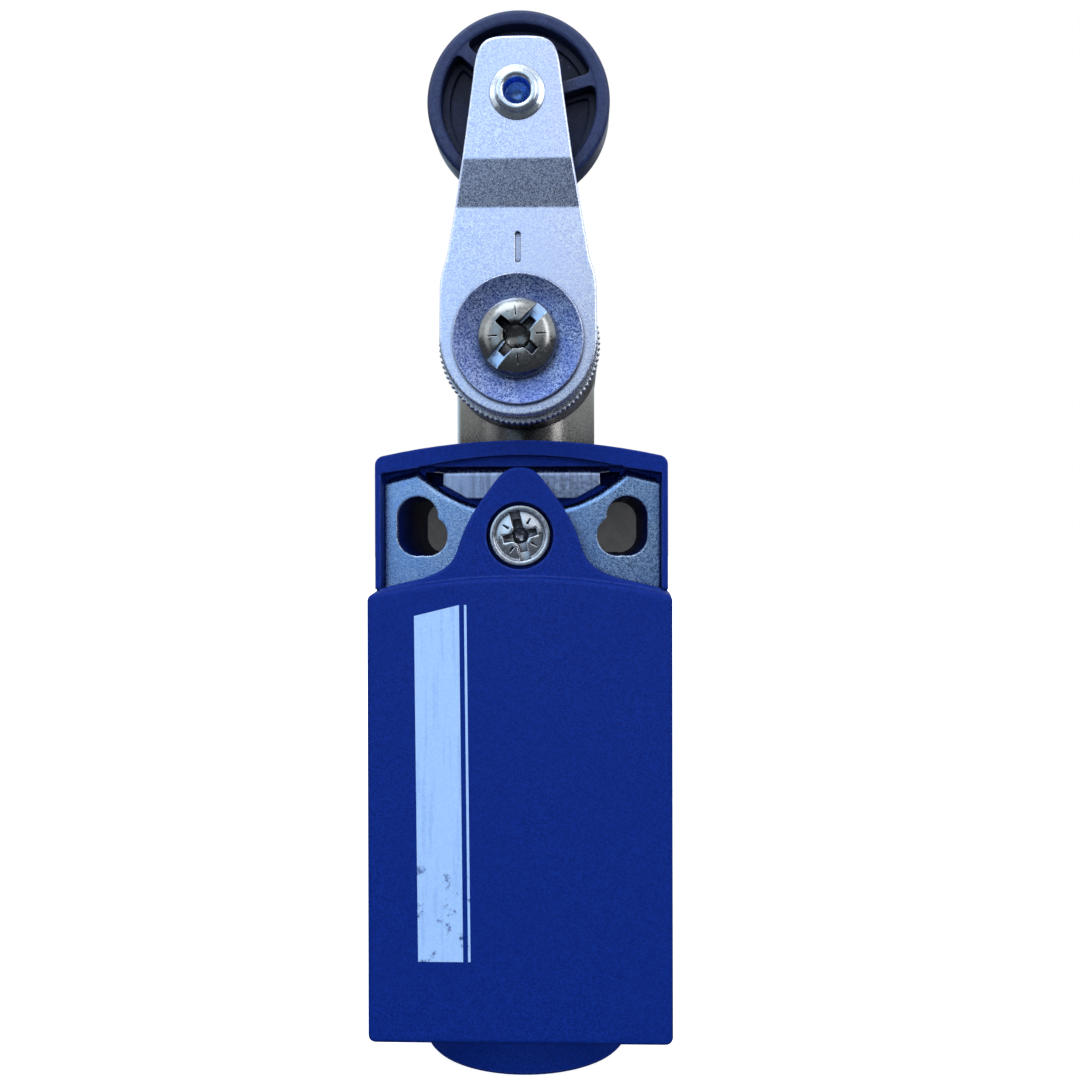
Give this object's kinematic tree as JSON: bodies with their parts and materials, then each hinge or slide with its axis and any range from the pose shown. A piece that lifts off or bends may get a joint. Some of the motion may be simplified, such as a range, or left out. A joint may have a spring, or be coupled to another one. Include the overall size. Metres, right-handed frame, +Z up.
{
  "type": "limit switch",
  "caption": "Compact limit switch with a blue moulded housing, a bottom cable entry, a rotary metal head and a steel lever arm that carries a plastic roller.",
  "frame": {"origin": "midway between the two round fixing holes, on the mounting plane at the back of the case", "axes": "+Z up towards the lever, +Y out of the back towards the surface that the switch is screwed to, +X to the right seen from the front"},
  "size_m": [0.031, 0.0384, 0.1089],
  "materials": {
    "blue_housing": "matte",
    "nickel_zamak": "satin",
    "zinc_plate": "satin",
    "zinc_washer": "satin",
    "stainless": "satin",
    "screw_steel": "satin",
    "roller_plastic": "satin",
    "bright_rivet": "satin",
    "shaft_steel": "satin",
    "spring_steel": "satin",
    "brass": "satin",
    "silver_contact": "satin",
    "black_rubber": "matte",
    "bronze": "satin",
    "white_acetal": "satin",
    "black_moulding": "matte",
    "grey_moulding": "matte"
  },
  "bodies": {
    "housing": {"case": "blue_housing", "cover": "blue_housing", "fixing_plate": "zinc_plate", "head_clip": "stainless", "cover_gasket": "black_rubber", "cover_screw": "screw_steel", "cover_screw_retainer": "white_acetal", "cover_screw_insert": "brass", "head_body": "nickel_zamak", "head_seal_ring": "black_rubber", "plunger_guide": "brass", "shaft_bush": "bronze", "shaft_seal": "black_rubber", "plunger_spring": "spring_steel", "carrier_spring": "spring_steel", "contact_block_base": "black_moulding", "contact_block_front": "grey_moulding", "upper_left_terminal": "brass", "upper_right_terminal": "brass", "lower_left_terminal": "brass", "lower_right_terminal": "brass", "wire_clamps": "screw_steel", "terminal_screws": "screw_steel", "fixed_contact_tips": "silver_contact"},
    "lever": {"shaft": "shaft_steel", "cam": "shaft_steel", "cam_pin": "spring_steel", "shaft_circlip": "spring_steel", "notched_washer": "zinc_plate", "lever_arm": "zinc_plate", "clamp_washer": "zinc_washer", "clamp_screw": "screw_steel", "roller_rivet": "bright_rivet"},
    "roller": {"roller": "roller_plastic"},
    "plunger": {"plunger": "white_acetal"},
    "contacts": {"contact_carrier": "white_acetal", "break_bridge": "brass", "make_bridge": "brass", "moving_contact_tips": "silver_contact", "break_contact_spring": "spring_steel", "make_contact_spring": "spring_steel"}
  },
  "joints": [
    {"name": "lever_swing", "type": "hinge", "parent": "housing", "child": "lever", "pos_m": [0, -0.0344, 0.0193], "axis": [0, -1, 0], "range_deg": [-70, 70], "stiffness_Nm_per_rad": 0.12},
    {"name": "roller_spin", "type": "hinge", "parent": "lever", "child": "roller", "pos_m": [0, -0.0311, 0.0433], "axis": [0, -1, 0], "continuous": true},
    {"name": "plunger_travel", "type": "slide", "parent": "housing", "child": "plunger", "axis": [0, 0, -1], "range_m": [0, 0.003], "stiffness_N_per_m": 1500, "deforming": ["plunger_spring"]},
    {"name": "contact_travel", "type": "slide", "parent": "housing", "child": "contacts", "axis": [0, 0, -1], "range_m": [0, 0.003], "stiffness_N_per_m": 500, "deforming": ["carrier_spring"]}
  ],
  "couplings": [
    {"joint": "contact_travel", "follows": "plunger_travel", "ratio": 1}
  ]
}
